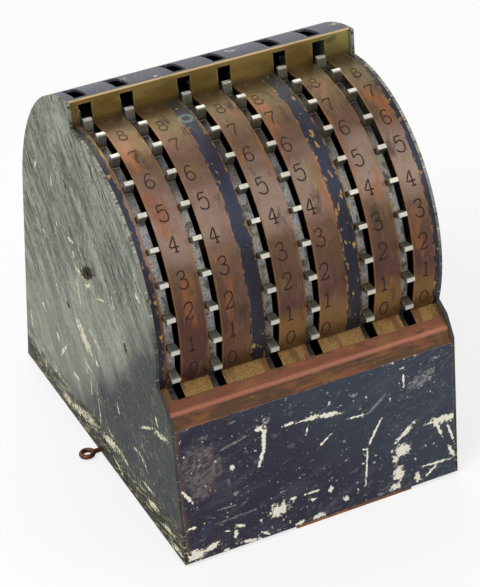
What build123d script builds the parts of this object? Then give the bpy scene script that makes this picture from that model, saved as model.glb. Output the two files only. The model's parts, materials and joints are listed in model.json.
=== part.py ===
from build123d import *
import math
import os

# Finger-operated column adder. Millimetres. Origin: centre of the rest face under the case.
# +X to the right as seen from the front, +Y to the back, +Z up.
# Angles about the wheel axis start at the horizontal towards the front and grow over the top to the back.

# Case
case_width = 120.0
case_depth = 175.5
front_wall_height = 61.5
panel_sheet = 1.2
wall_sheet = 1.2
base_sheet = 1.4
base_inset = 3.0
flange_depth = 9.0
corner_gap = 0.3
cut_margin = 1.0

# Face plate: the foot of its curve from the front wall's outer face and upper edge
face_radius = 60.8
face_sheet = 0.8
face_foot = Vector(11.85, 11.9)
ledge_angle = -20.5
ledge_underlap = 3.0
bar_seat_gap = 0.1
face_run_under_cover = 2.0
slot_width = 5.4
slot_end_margin = 0.3
first_slot_from_left = 7.3
last_slot_from_right = 15.0
painted_stripe_step = 6.6

# Stop bar and the side panels' nose beside it: corners from the front wall's outer face and upper edge
bar_ridge = Vector(2.6, 5.6)
bar_back = Vector(6.3, 9.2)
bar_sheet = 1.0
bar_tail = 7.5
panel_nose_low = Vector(0.0, 2.1)
panel_nose_high = Vector(5.0, 10.4)
panel_nose_round = 1.5
panel_arc_start = -18.5

# Rear cover and its windows
cover_rise = 10.6
cover_sheet = 1.0
cover_arc_end = 131.0
back_bulge = 4.2
window_start = 97.5
window_end = 111.0

# Brass strip between the face plate and the rear cover
strip_behind_axis = 6.2
strip_sheet = 1.2
strip_web = 1.8
panel_step_lead = 1.2

# Finger wheels
wheel_shift = -0.5
wheel_side_gap = 1.0
peg_count = 30
first_peg_angle = -14.5
peg_height = 5.6
peg_root_thickness = 2.4
peg_tip_thickness = 1.7
rim_below_face = 1.4
rim_depth = 4.6
web_thickness = 1.6
hub_wall = 4.5
hub_length = 6.0
axial_play = 0.15
running_clearance = 0.05

# Main shaft, the flanges that hold it, and the open screw hole beside it in the left panel
shaft_radius = 4.0
spacer_wall = 2.0
shaft_flange_wall = 7.0
shaft_flange_sheet = 1.8
screw_hole_offset = 3.1
screw_hole_angle = -161.0
screw_hole_radius = 1.5

# Carry pinions: star A meshes with the wheel on the left, star B stands clear of the right wheel's lugs
pinion_slots = 6
carry_peg_steps = -9
star_a_thickness = 3.0
star_a_slot = 5.2
star_a_root_gap = 1.28
star_a_tip_gap = 0.7
lug_gap = 0.3
star_b_thickness = 2.4
star_b_slot = 4.0
star_b_slot_depth = 6.4
star_b_gap = 0.3
pinion_sleeve_wall = 2.5
carry_shaft_radius = 2.5
lug_count = 3
lug_lead = 18.0
lug_reach = 3.0
lug_width = 2.6
lug_setback = 0.4

# Click pawls, held up clear of the pegs
pawl_pivot_angle = 171.0
pawl_peg_step = 13
pawl_flank_gap = 0.3
pawl_nose_angle = 2.0
pawl_nose_above_rim = 3.0
pawl_arm_above_pegs = 0.8
pawl_lift = 5.0
pawl_arm_depth = 2.0
pawl_thickness = 3.0
pawl_sleeve_wall = 2.2
pawl_sleeve_above_pegs = 1.6
click_shaft_radius = 2.0

# Square plates that hold the ends of the carry shaft and the click shaft
socket_width = 8.0
socket_sheet = 2.0

# Base plate's tongue and the pull ring
tongue_width = 51.0
tongue_centre_x = 13.5
tongue_reach = 2.6
ring_wire = 2.1
ring_wire_sides = 8
ring_outer_radius = 3.6
ring_neck = 2.0
ring_height = 1.5
ring_shank = 12.0
ring_from_middle = 1.0
ring_fit = 0.05

# Places that follow from the sizes above
half_width = case_width / 2
half_depth = case_depth / 2
inside_x = half_width - panel_sheet
wall_top = base_sheet + front_wall_height
ledge_turn = math.radians(ledge_angle)
axis_y = face_foot.X + face_radius * math.cos(ledge_turn) - half_depth
axis_z = wall_top + face_foot.Y - face_radius * math.sin(ledge_turn)
wheel_axis = Vector(axis_y, axis_z)
strip_y = axis_y + strip_behind_axis
cover_radius = face_radius + cover_rise

slot_run = case_width - first_slot_from_left - last_slot_from_right
narrow_pitch = (slot_run - 2 * painted_stripe_step) / 5
wide_pitch = narrow_pitch + painted_stripe_step
slot_steps = (0.0, narrow_pitch, wide_pitch, narrow_pitch, wide_pitch, narrow_pitch)
slot_centres = [first_slot_from_left - half_width + sum(slot_steps[: i + 1]) for i in range(6)]
wheel_centres = [centre + wheel_shift for centre in slot_centres]

rim_width = slot_width - 2 * wheel_side_gap
rim_radius = face_radius - face_sheet - rim_below_face
peg_tip_radius = rim_radius + peg_height
peg_pitch = 360.0 / peg_count
hub_radius = shaft_radius + hub_wall
spacer_radius = shaft_radius + spacer_wall
shaft_flange_radius = shaft_radius + shaft_flange_wall
screw_hole_circle = shaft_radius + screw_hole_offset

mesh_radius = (rim_radius + peg_tip_radius) / 2
carry_distance = mesh_radius * (1 + pinion_slots / peg_count)
carry_angle = first_peg_angle + carry_peg_steps * peg_pitch
star_a_radius = carry_distance - rim_radius - star_a_tip_gap
star_a_root = carry_distance - peg_tip_radius - star_a_root_gap
star_b_radius = carry_distance - (rim_radius - lug_setback) - lug_gap
star_b_root = star_b_radius - star_b_slot_depth
pinion_sleeve_radius = carry_shaft_radius + pinion_sleeve_wall

pawl_sleeve_radius = click_shaft_radius + pawl_sleeve_wall
pawl_pivot_radius = peg_tip_radius + pawl_sleeve_above_pegs + pawl_sleeve_radius
pawl_nose_tip_radius = rim_radius + pawl_nose_above_rim
pawl_arm_inner_radius = peg_tip_radius + pawl_arm_above_pegs


def case_point(point):
    """A point given from the front wall's outer face and upper edge, as (y, z) of the model."""
    return Vector(point.X - half_depth, point.Y + wall_top)


def around_axis(radius, angle):
    """The (y, z) point at this radius and angle about the wheel axis."""
    turn = math.radians(angle)
    return Vector(axis_y - radius * math.cos(turn), axis_z + radius * math.sin(turn))


def height_on_circle(radius, y):
    """The z of the upper point at this y on a circle about the wheel axis."""
    return axis_z + math.sqrt(radius**2 - (y - axis_y) ** 2)


def angle_at(radius, y):
    """The angle of the upper point at this y on a circle about the wheel axis."""
    return math.degrees(math.acos((axis_y - y) / radius))


def axis_arc(radius, start, end):
    """Arc about the wheel axis between two of its angles."""
    middle = (start + end) / 2
    return ThreePointArc(*[around_axis(radius, angle) for angle in (start, middle, end)])


def across(face, x_start, x_end):
    """A (y, z) face drawn out along X."""
    return extrude(Plane.YZ.offset(x_start) * face, amount=x_end - x_start)


def disc(radius, point, x_start, x_end):
    """A cylinder along X."""
    return across(Pos(point.X, point.Y) * Circle(radius), x_start, x_end)


def tube(radius, bore, point, x_start, x_end):
    """A tube along X."""
    return across(Pos(point.X, point.Y) * (Circle(radius) - Circle(bore)), x_start, x_end)


def span(one_end, other_end):
    """Two limits in rising order."""
    return (min(one_end, other_end), max(one_end, other_end))


def block(x_span, y_span, z_span):
    """A box between three pairs of limits."""
    size = [high - low for low, high in (x_span, y_span, z_span)]
    middle = [(high + low) / 2 for low, high in (x_span, y_span, z_span)]
    return Pos(*middle) * Box(*size)


def sheet_face(path, thickness):
    """Section of a sheet whose outer side follows the path, with the case's inside on its right."""
    return make_face(offset(path, amount=thickness, side=Side.RIGHT, kind=Kind.INTERSECTION))


def back_lines():
    """Blend arc from the rear cover's top curve into the straight back, and the back down to its foot."""
    foot = Vector(half_depth, base_sheet)
    to_foot = foot - wheel_axis
    reach = cover_radius + back_bulge
    lean = math.acos(reach / to_foot.length) + math.atan2(to_foot.Y, to_foot.X)
    away = Vector(math.cos(lean), math.sin(lean))
    arc_end = around_axis(cover_radius, cover_arc_end)
    toward_end = (arc_end - wheel_axis).normalized()
    share = toward_end.dot(away)
    blend_radius = (reach - cover_radius * share) / (1 - share)
    blend_centre = wheel_axis + toward_end * (cover_radius - blend_radius)
    middle = blend_centre + (toward_end + away).normalized() * blend_radius
    line_top = blend_centre + away * blend_radius
    return [ThreePointArc(arc_end, middle, line_top), Line(line_top, foot)]


def panel_outline():
    """Side panel's outline: front edge, nose by the stop bar, face curve, step, rear curve and back."""
    front_foot = Vector(-half_depth, base_sheet)
    nose = [case_point(panel_nose_low), case_point(panel_nose_high)]
    face_start = around_axis(face_radius, panel_arc_start)
    step_y = strip_y - panel_step_lead
    step_low = Vector(step_y, height_on_circle(face_radius, step_y))
    step_high = Vector(step_y, height_on_circle(cover_radius, strip_y))
    cover_start = angle_at(cover_radius, strip_y)
    edges = [
        FilletPolyline(front_foot, *nose, face_start, radius=panel_nose_round),
        axis_arc(face_radius, panel_arc_start, angle_at(face_radius, step_y)),
        Polyline(step_low, step_high, around_axis(cover_radius, cover_start)),
        axis_arc(cover_radius, cover_start, cover_arc_end),
        *back_lines(),
        Line(Vector(half_depth, base_sheet), front_foot),
    ]
    return make_face(Curve() + edges)


def side_panel(side):
    """Painted sheet side with a foot flange turned inward; side is -1 for left and 1 for right."""
    inner = side * inside_x
    panel = across(panel_outline(), *span(side * half_width, inner))
    flange_y = (-half_depth + wall_sheet + corner_gap, half_depth - 2 * cover_sheet)
    flange_x = span(inner, inner - side * flange_depth)
    return panel + block(flange_x, flange_y, (base_sheet, base_sheet + panel_sheet))


def screw_hole(x_start, x_end):
    """The open hole beside the left end of the main shaft."""
    return disc(screw_hole_radius, around_axis(screw_hole_circle, screw_hole_angle), x_start, x_end)


def left_side_panel():
    """Left side: its open screw hole near the axis, and a notch in the foot for the ring's shank."""
    notch_radius = ring_wire / 2 + 2 * ring_fit
    notch_axis = Pos(-inside_x, ring_from_middle, ring_height) * Rot(0, 90, 0)
    notch = notch_axis * Cylinder(notch_radius, 2 * ring_shank)
    return side_panel(-1) - screw_hole(-half_width, -inside_x) - notch


def right_side_panel():
    """Right side, plain."""
    return side_panel(1)


def front_wall():
    """Front sheet with side flanges and a foot flange; the stop bar sits on its upper edge."""
    front = -half_depth
    wall = block((-inside_x, inside_x), (front, front + wall_sheet), (base_sheet, wall_top))
    flange_y = (front, front + flange_depth)
    flange_z = (base_sheet + 2 * wall_sheet + corner_gap, wall_top - bar_tail - corner_gap)
    left = block((-inside_x, -inside_x + wall_sheet), flange_y, flange_z)
    right = block((inside_x - wall_sheet, inside_x), flange_y, flange_z)
    foot_x = inside_x - flange_depth - corner_gap
    foot = block((-foot_x, foot_x), flange_y, (base_sheet, base_sheet + wall_sheet))
    return wall + left + right + foot


def copper_stop_bar():
    """Folded cap on the front wall's edge: a pulled peg stops against its upper edge."""
    wall_edge = Vector(-half_depth, wall_top)
    cap = sheet_face(Polyline(wall_edge, case_point(bar_ridge), case_point(bar_back)), bar_sheet)
    tail_y = wall_edge.X + wall_sheet
    tail_bottom = wall_top - bar_tail
    tail_top = wall_top + wall_sheet * bar_ridge.Y / bar_ridge.X - corner_gap
    tail_height = tail_top - tail_bottom
    tail = Pos(tail_y + bar_sheet / 2, tail_bottom + tail_height / 2) * Rectangle(bar_sheet, tail_height)
    wall_room = Pos(wall_edge.X, wall_top - bar_sheet) * Rectangle(2 * wall_sheet, 2 * bar_sheet)
    return across(cap + tail - wall_room, -inside_x, inside_x)


def ledge_points():
    """Outer side of the face plate's foot: tucked under the stop bar, to its edge, then to the curve."""
    along = (bar_back - bar_ridge).normalized()
    inward = Vector(along.Y, -along.X)
    bar_edge = case_point(bar_back) + inward * (bar_sheet + bar_seat_gap)
    return [bar_edge - along * ledge_underlap, bar_edge, around_axis(face_radius, ledge_angle)]


def slotted_face_plate():
    """Curved sheet cut into seven bands by six slots, joined along its foot under the stop bar."""
    ledge = ledge_points()
    end_angle = angle_at(face_radius, strip_y + strip_sheet + face_run_under_cover)
    path = Wire([*Polyline(*ledge).edges(), *axis_arc(face_radius, ledge_angle, end_angle).edges()])
    plate = across(sheet_face(path, face_sheet), -inside_x, inside_x)
    slot_reach = (ledge[1] - wheel_axis).length - slot_end_margin
    for centre in slot_centres:
        plate -= disc(slot_reach, wheel_axis, centre - slot_width / 2, centre + slot_width / 2)
    return plate


def brass_top_strip():
    """Upright strip on the face plate, notched over each slot so that the pegs pass under it."""
    bottom = height_on_circle(face_radius, strip_y)
    top = height_on_circle(cover_radius, strip_y)
    strip = block((-inside_x, inside_x), (strip_y, strip_y + strip_sheet), (bottom, top))
    for centre in slot_centres:
        notch_x = (centre - slot_width / 2, centre + slot_width / 2)
        notch_y = (strip_y - cut_margin, strip_y + strip_sheet + cut_margin)
        strip -= block(notch_x, notch_y, (bottom - cut_margin, top - strip_web))
    return strip


def window_opening():
    """Section of one window's cut through the rear cover."""
    outer = cover_radius + cut_margin
    inner = cover_radius - cover_sheet - cut_margin
    edges = [
        axis_arc(outer, window_start, window_end),
        Line(around_axis(outer, window_end), around_axis(inner, window_end)),
        axis_arc(inner, window_end, window_start),
        Line(around_axis(inner, window_start), around_axis(outer, window_start)),
    ]
    return make_face(Curve() + edges)


def rear_cover():
    """Painted sheet from the strip over the top and down the slanting back, with six windows."""
    start_y = strip_y + strip_sheet
    curve = [*axis_arc(cover_radius, angle_at(cover_radius, start_y), cover_arc_end).edges()]
    for line in back_lines():
        curve += line.edges()
    cover = across(sheet_face(Wire(curve), cover_sheet), -inside_x, inside_x)
    top_z = height_on_circle(cover_radius, strip_y)
    strip_room = (top_z - 2 * cover_sheet, top_z + cut_margin)
    cover -= block((-half_width, half_width), (strip_y, start_y), strip_room)
    foot_x = inside_x - flange_depth - corner_gap
    flange_y = (half_depth - flange_depth, half_depth - cover_sheet / 2)
    cover += block((-foot_x, foot_x), flange_y, (base_sheet, base_sheet + cover_sheet))
    opening = window_opening()
    for centre in slot_centres:
        cover -= across(opening, centre - slot_width / 2, centre + slot_width / 2)
    return cover


def base_plate():
    """Copper sheet that the walls stand on, with a tongue that shows under the front wall."""
    width = case_width - 2 * base_inset
    depth = case_depth - 2 * base_inset
    plate = Pos(0, 0, base_sheet / 2) * Box(width, depth, base_sheet)
    edge_y = -half_depth + base_inset
    tongue_x = (tongue_centre_x - tongue_width / 2, tongue_centre_x + tongue_width / 2)
    plate += block(tongue_x, (edge_y - tongue_reach, edge_y + cut_margin), (0, base_sheet))
    slot_half = ring_wire / 2 + ring_fit
    slot_end = -half_width + ring_shank + ring_fit
    plate -= block(
        (-half_width, slot_end),
        (ring_from_middle - slot_half, ring_from_middle + slot_half),
        (-cut_margin, base_sheet + cut_margin),
    )
    return plate


def pull_ring():
    """Closed wire eye at the foot of the left side, its shank laid in the base plate's slot."""
    eye_radius = ring_outer_radius - ring_wire / 2
    eye_x = -half_width - ring_neck - ring_outer_radius
    section = RegularPolygon(ring_wire / 2, ring_wire_sides)
    place = Pos(0, ring_from_middle, ring_height)
    eye = revolve(Plane.XZ * Pos(eye_radius, 0) * section, Axis.Z)
    shank_start = eye_x + eye_radius
    shank_end = -half_width + ring_shank
    shank = extrude(Plane.YZ.offset(shank_start) * section, amount=shank_end - shank_start)
    return place * (Pos(eye_x, 0) * eye + shank)


def main_shaft():
    """Fixed rod from panel to panel on which the wheels turn."""
    return disc(shaft_radius, wheel_axis, -inside_x, inside_x)


def shaft_flange(side):
    """Round plate against a panel that holds the shaft's end; the panel's hole goes on through it."""
    ends = span(side * inside_x, side * (inside_x - shaft_flange_sheet))
    flange = tube(shaft_flange_radius, shaft_radius, wheel_axis, *ends)
    return flange - screw_hole(-inside_x, -inside_x + shaft_flange_sheet)


def spacer(start, end):
    """Tube on the main shaft between two faces."""
    bore = shaft_radius + running_clearance
    return tube(spacer_radius, bore, wheel_axis, start + axial_play, end - axial_play)


def wheel_spacer(index):
    """Tube between a wheel's hub and the next wheel."""
    hub_end = wheel_centres[index] - rim_width / 2 + hub_length
    return spacer(hub_end, wheel_centres[index + 1] - rim_width / 2)


def end_spacers():
    """The tubes between the row of wheels and the two flanges."""
    flange_face = inside_x - shaft_flange_sheet
    left = spacer(-flange_face, wheel_centres[0] - rim_width / 2)
    right = spacer(wheel_centres[-1] - rim_width / 2 + hub_length, flange_face)
    return Compound([left.solid(), right.solid()])


def pegged_outline():
    """Side view of a wheel: thirty pegs that taper outward, with a flat between each pair."""
    half_root = peg_root_thickness / 2
    half_tip = peg_tip_thickness / 2
    peg = [
        Vector(rim_radius, -half_root),
        Vector(peg_tip_radius, -half_tip),
        Vector(peg_tip_radius, half_tip),
        Vector(rim_radius, half_root),
    ]
    turns = [180 - first_peg_angle + peg_pitch * i for i in range(peg_count)]
    points = [corner.rotate(Axis.Z, turn) for turn in turns for corner in peg]
    return make_face(Polyline(*points, close=True))


def finger_wheel(centre):
    """Pegged wheel dished on its right side, with a hub, and three carry lugs on its left side."""
    left_face = -rim_width / 2
    wheel = across(pegged_outline(), left_face, rim_width / 2)
    dish = Rot(0, 0, 180 - first_peg_angle) * RegularPolygon(rim_radius - rim_depth, peg_count)
    wheel -= across(dish, left_face + web_thickness, rim_width / 2)
    wheel += across(Circle(hub_radius), left_face, left_face + hub_length)
    wheel -= across(Circle(shaft_radius + running_clearance), -hub_length, hub_length)
    lug_depth = rim_depth - lug_setback
    lug = Pos(rim_radius - lug_setback - lug_depth / 2, 0) * Rectangle(lug_depth, lug_width)
    for i in range(lug_count):
        turn = 180 - carry_angle - lug_lead - 360.0 * i / lug_count
        wheel += across(Rot(0, 0, turn) * lug, left_face - lug_reach, left_face)
    return Pos(centre, axis_y, axis_z) * wheel


def star(radius, root, slot, first_slot):
    """A disc with radial slots down to the root; first_slot is the angle of one slot in the sketch."""
    cut = Pos(root + radius / 2, 0) * Rectangle(radius, slot)
    face = Circle(radius)
    for i in range(pinion_slots):
        face -= Rot(0, 0, first_slot + 360.0 * i / pinion_slots) * cut
    return face


def carry_pinion(index):
    """Star A in the left wheel's pegs and star B beside the right wheel's rim, on one sleeve."""
    toward_wheel = -carry_angle
    half_step = 180.0 / pinion_slots
    socket_face = inside_x - socket_sheet
    a_starts = [centre - star_a_thickness / 2 for centre in wheel_centres]
    b_end = wheel_centres[index + 1] - rim_width / 2 - star_b_gap
    sleeve_starts = [-socket_face + axial_play, *a_starts[1:]]
    sleeve_ends = [b_end] * (len(wheel_centres) - 2) + [socket_face - axial_play]
    face_a = star(star_a_radius, star_a_root, star_a_slot, toward_wheel)
    face_b = star(star_b_radius, star_b_root, star_b_slot, toward_wheel + half_step)
    pinion = across(face_a, a_starts[index], a_starts[index] + star_a_thickness)
    pinion += across(face_b, b_end - star_b_thickness, b_end)
    pinion += across(Circle(pinion_sleeve_radius), sleeve_starts[index], sleeve_ends[index])
    bore = Circle(carry_shaft_radius + running_clearance)
    pinion -= across(bore, sleeve_starts[index], sleeve_ends[index])
    place = around_axis(carry_distance, carry_angle)
    return Pos(0, place.X, place.Y) * pinion


def carry_shaft():
    """Fixed rod on which the carry pinions turn."""
    return disc(carry_shaft_radius, around_axis(carry_distance, carry_angle), -inside_x, inside_x)


def shaft_sockets(point, bore):
    """Two square plates soldered to the panels that hold a shaft's ends."""
    face = Pos(point.X, point.Y) * (Rectangle(socket_width, socket_width) - Circle(bore))
    left = across(face, -inside_x, -inside_x + socket_sheet)
    right = across(face, inside_x - socket_sheet, inside_x)
    return Compound([left.solid(), right.solid()])


def pawl_arm():
    """The pawl's side view: an arm curved over the pegs, with its nose dropped behind one."""
    peg_angle = first_peg_angle + pawl_peg_step * peg_pitch
    flank = math.degrees((peg_root_thickness / 2 + pawl_flank_gap) / rim_radius)
    start = peg_angle + flank
    nose_end = start + pawl_nose_angle
    inner = pawl_arm_inner_radius
    outer = pawl_arm_inner_radius + pawl_arm_depth
    nose = [
        around_axis(inner, nose_end),
        around_axis(pawl_nose_tip_radius, nose_end),
        around_axis(pawl_nose_tip_radius, start),
        around_axis(outer, start),
    ]
    edges = [
        axis_arc(outer, start, pawl_pivot_angle),
        Line(around_axis(outer, pawl_pivot_angle), around_axis(inner, pawl_pivot_angle)),
        axis_arc(inner, pawl_pivot_angle, nose_end),
        Polyline(*nose),
    ]
    return make_face(Curve() + edges)


def click_pawl(index):
    """Drop pawl, lifted about its shaft; let go, it falls behind a peg. Its sleeve reaches the next pawl."""
    pivot = around_axis(pawl_pivot_radius, pawl_pivot_angle)
    socket_face = inside_x - socket_sheet
    arm_starts = [centre - pawl_thickness / 2 for centre in wheel_centres]
    arm_start = arm_starts[index]
    sleeve_starts = [-socket_face + axial_play, *arm_starts[1:], socket_face]
    sleeve_start = sleeve_starts[index]
    sleeve_end = sleeve_starts[index + 1] - axial_play
    arm = pawl_arm().rotate(Axis((pivot.X, pivot.Y, 0), (0, 0, 1)), -pawl_lift)
    pawl = across(arm, arm_start, arm_start + pawl_thickness)
    pawl += disc(pawl_sleeve_radius, pivot, sleeve_start, sleeve_end)
    return pawl - disc(click_shaft_radius + running_clearance, pivot, sleeve_start, sleeve_end)


def click_shaft():
    """Fixed rod on which the pawls swing."""
    return disc(click_shaft_radius, around_axis(pawl_pivot_radius, pawl_pivot_angle), -inside_x, inside_x)


def all_parts():
    """Every node of the machine by its name."""
    carry_point = around_axis(carry_distance, carry_angle)
    click_point = around_axis(pawl_pivot_radius, pawl_pivot_angle)
    parts = {
        "left_side_panel": left_side_panel(),
        "right_side_panel": right_side_panel(),
        "front_wall": front_wall(),
        "copper_stop_bar": copper_stop_bar(),
        "slotted_face_plate": slotted_face_plate(),
        "brass_top_strip": brass_top_strip(),
        "rear_cover": rear_cover(),
        "base_plate": base_plate(),
        "pull_ring": pull_ring(),
        "main_shaft": main_shaft(),
        "left_shaft_flange": shaft_flange(-1),
        "right_shaft_flange": shaft_flange(1),
        "end_spacers": end_spacers(),
        "carry_shaft": carry_shaft(),
        "carry_shaft_sockets": shaft_sockets(carry_point, carry_shaft_radius),
        "click_shaft": click_shaft(),
        "click_shaft_sockets": shaft_sockets(click_point, click_shaft_radius),
    }
    for index, centre in enumerate(wheel_centres):
        parts[f"finger_wheel_{index + 1}"] = finger_wheel(centre)
        parts[f"click_pawl_{index + 1}"] = click_pawl(index)
    for index in range(len(wheel_centres) - 1):
        parts[f"wheel_spacer_{index + 1}"] = wheel_spacer(index)
        parts[f"carry_pinion_{index + 1}"] = carry_pinion(index)
    return parts


os.makedirs("parts", exist_ok=True)
for name, shape in all_parts().items():
    export_step(shape, f"parts/{name}.step")
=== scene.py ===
import json
import math

import bpy
from mathutils import Matrix, Vector


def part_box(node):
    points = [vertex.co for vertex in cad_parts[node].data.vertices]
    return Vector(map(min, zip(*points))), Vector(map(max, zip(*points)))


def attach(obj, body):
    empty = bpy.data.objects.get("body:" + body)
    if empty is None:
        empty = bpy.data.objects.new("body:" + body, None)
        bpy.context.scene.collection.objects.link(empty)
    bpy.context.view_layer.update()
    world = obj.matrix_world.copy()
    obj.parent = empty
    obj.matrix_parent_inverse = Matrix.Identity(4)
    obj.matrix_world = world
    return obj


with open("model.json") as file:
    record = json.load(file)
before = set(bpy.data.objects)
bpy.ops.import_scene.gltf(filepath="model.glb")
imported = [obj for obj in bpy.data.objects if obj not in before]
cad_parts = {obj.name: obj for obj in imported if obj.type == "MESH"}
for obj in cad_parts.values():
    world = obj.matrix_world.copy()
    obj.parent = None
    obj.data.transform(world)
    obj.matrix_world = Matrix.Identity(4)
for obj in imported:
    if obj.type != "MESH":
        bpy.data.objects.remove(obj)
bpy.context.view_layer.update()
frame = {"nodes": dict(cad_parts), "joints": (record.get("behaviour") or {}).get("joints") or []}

nodes = frame["nodes"]


# ---------------------------------------------------------------------------------------------
# The white table and the studio. The machine is seen from its front left corner and from above.
# A wide soft lamp hangs at the upper left, a weaker one at the right, and one behind and above.

def aim(thing, target):
    """Turns a lamp to face a point."""
    thing.rotation_euler = (Vector(target) - thing.location).to_track_quat("-Z", "Y").to_euler()


class Shade:
    """A socket of a node tree that takes part in Python sums; each sum adds its own Math node."""

    def __init__(self, tree, socket=None):
        self.tree, self.socket = tree, socket

    def node(self, kind, settings=(), inputs=(), out=0):
        """Adds any node: its settings first, then the values or links of its sockets.
        The setting called laid is the place, turn and size at which a texture is laid."""
        made = self.tree.nodes.new("ShaderNode" + kind)
        for name, value in dict(settings).items():
            if name == "laid":
                laid = made.texture_mapping
                laid.vector_type = "TEXTURE"
                laid.translation, laid.rotation, laid.scale = value
            else:
                setattr(made, name, value)
        for name, value in dict(inputs).items():
            if isinstance(value, Shade):
                self.tree.links.new(value.socket, made.inputs[name])
            else:
                made.inputs[name].default_value = value
        return Shade(self.tree, made.outputs[out])

    def maths(self, operation, first, second=0.0):
        return self.node("Math", {"operation": operation}, {0: first, 1: second})

    def __add__(self, other):
        return self.maths("ADD", self, other)

    def __sub__(self, other):
        return self.maths("SUBTRACT", self, other)

    def __rsub__(self, other):
        return self.maths("SUBTRACT", other, self)

    def __mul__(self, other):
        return self.maths("MULTIPLY", self, other)

    def __truediv__(self, other):
        return self.maths("DIVIDE", self, other)

    def __pow__(self, other):
        return self.maths("POWER", self, other)

    def __and__(self, other):
        return self.maths("MINIMUM", self, other)

    def __or__(self, other):
        return self.maths("MAXIMUM", self, other)

    def __abs__(self):
        return self.maths("ABSOLUTE", self)

    __radd__, __rmul__ = __add__, __mul__


azimuth, elevation, roll = (math.radians(turn) for turn in (-22.592, 31.004, -4.871))
camera_place = (-0.279196, -0.691663, 0.506205)
back = Vector((math.sin(azimuth) * math.cos(elevation),
               -math.cos(azimuth) * math.cos(elevation),
               math.sin(elevation)))
level = Vector((math.cos(azimuth), math.sin(azimuth), 0.0))
rise = back.cross(level)
to_right = level * math.cos(roll) + rise * math.sin(roll)
to_top = rise * math.cos(roll) - level * math.sin(roll)
bpy.ops.object.camera_add()
camera = bpy.context.object
camera.data.sensor_width = 36.0
camera.data.lens = 129.59
camera.data.clip_start = 0.01
camera.matrix_world = (Matrix.Translation(camera_place)
                       @ Matrix((to_right, to_top, back)).transposed().to_4x4())
bpy.context.scene.camera = camera

for name, where, width, power in (
    ("key_lamp", (-0.95, -0.55, 1.25), 0.9, 17.0),
    ("side_lamp", (1.15, -0.95, 0.75), 0.8, 5.0),
    ("top_lamp", (0.15, 0.75, 1.35), 0.7, 6.0),
):
    bpy.ops.object.light_add(type="AREA", location=where)
    lamp = bpy.context.object
    lamp.name = name
    lamp.data.size = width
    lamp.data.energy = power
    aim(lamp, (0.0, 0.0, 0.08))

bpy.context.scene.view_settings.view_transform = "Standard"

studio = bpy.data.worlds.new("studio")
studio.use_nodes = True
bpy.context.scene.world = studio


def seen_directly(start):
    """1 where a ray comes from the camera, a mirror or a glass, 0 where it only carries light."""
    straight, mirrored, through = (start.node("LightPath", out=name) for name in (
        "Is Camera Ray", "Is Glossy Ray", "Is Transmission Ray"))
    return straight | mirrored | through


daylight = 0.42
backdrop = studio.node_tree.nodes["Background"]
backdrop.inputs["Color"].default_value = (1.0, 1.0, 1.0, 1.0)
strength = seen_directly(Shade(studio.node_tree)) * (1.0 - daylight) + daylight
studio.node_tree.links.new(strength.socket, backdrop.inputs["Strength"])

table_glow = 0.72
bpy.ops.object.select_all(action="DESELECT")
bpy.ops.mesh.primitive_plane_add(size=8.0, location=(0.0, 0.0, 0.0))
table = bpy.context.object
table.name = "white_table"
table_paint = bpy.data.materials.new("table_paint")
table_paint.use_nodes = True
tree = table_paint.node_tree
tree.nodes.clear()
start = Shade(tree)
chalk = start.node("BsdfDiffuse", (), {"Color": (0.86, 0.86, 0.86, 1.0)})
glow = start.node("Emission", (), {"Color": (1.0, 1.0, 1.0, 1.0), "Strength": 1.0})
blend = start.node("MixShader", (), {0: seen_directly(start) * table_glow, 1: chalk, 2: glow})
shown = tree.nodes.new("ShaderNodeOutputMaterial")
tree.links.new(blend.socket, shown.inputs["Surface"])
table.data.materials.append(table_paint)


# ---------------------------------------------------------------------------------------------
# Side panels: two flat steel sheets, grey-green enamel over a yellowish primer, bluer low at the
# front, where painted shade also darkens it, rubbed into dark streaks and scratched, worst along
# the foot where the machine is dragged.

def tint(red, green, blue):
    """A colour written in screen values, as a socket takes it."""
    def linear(value):
        value /= 255.0
        return value / 12.92 if value <= 0.04045 else ((value + 0.055) / 1.055) ** 2.4
    return (linear(red), linear(green), linear(blue), 1.0)


def new_finish(name):
    """A new material, and the place on the piece in mm."""
    made = bpy.data.materials.new(name)
    made.use_nodes = True
    metres = Shade(made.node_tree).node("TexCoord", out="Object")
    return made, metres.node("VectorMath", {"operation": "SCALE"}, {0: metres, "Scale": 1000.0})


def set_finish(made, **values):
    """Sets the surface's sockets by name, to a number, a colour or a link."""
    tree = made.node_tree
    surface = tree.nodes["Principled BSDF"]
    for name, value in values.items():
        socket = surface.inputs[name.replace("_", " ")]
        if isinstance(value, Shade):
            tree.links.new(value.socket, socket)
        else:
            socket.default_value = value


def split(place):
    """The x, y and z of a place."""
    return [place.node("SeparateXYZ", (), {0: place}, axis) for axis in ("X", "Y", "Z")]


def lay_flat(first, second):
    """A plane's two distances as one flat place."""
    return first.node("CombineXYZ", (), {0: first, 1: second})


def grain(place, size, turn=0.0, shift=0.0, detail=3.0):
    """Noise about 0.5. Its lumps have this size in mm, one for all axes or one each, and are
    turned in the plane of the first two. The shift only picks another stretch of the noise."""
    size = size if isinstance(size, tuple) else (size, size, size)
    laid = ((shift, shift * 0.7, shift * 1.3), (0.0, 0.0, math.radians(turn)), size)
    return place.node("TexNoise", {"laid": laid}, {
        "Vector": place, "Scale": 1.0, "Detail": detail, "Roughness": 0.55})


def between(value, low, high):
    """0 at low and 1 at high, with a soft step between them."""
    return value.node("MapRange", {"interpolation_type": "SMOOTHSTEP"}, {
        "Value": value, "From Min": low, "From Max": high})


def mix(mask, under, over):
    """Lays one colour over another through a mask; 6, 7 and 2 are the node's colour sockets."""
    return mask.node("Mix", {"data_type": "RGBA"}, {0: mask, 6: under, 7: over}, 2)


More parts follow.
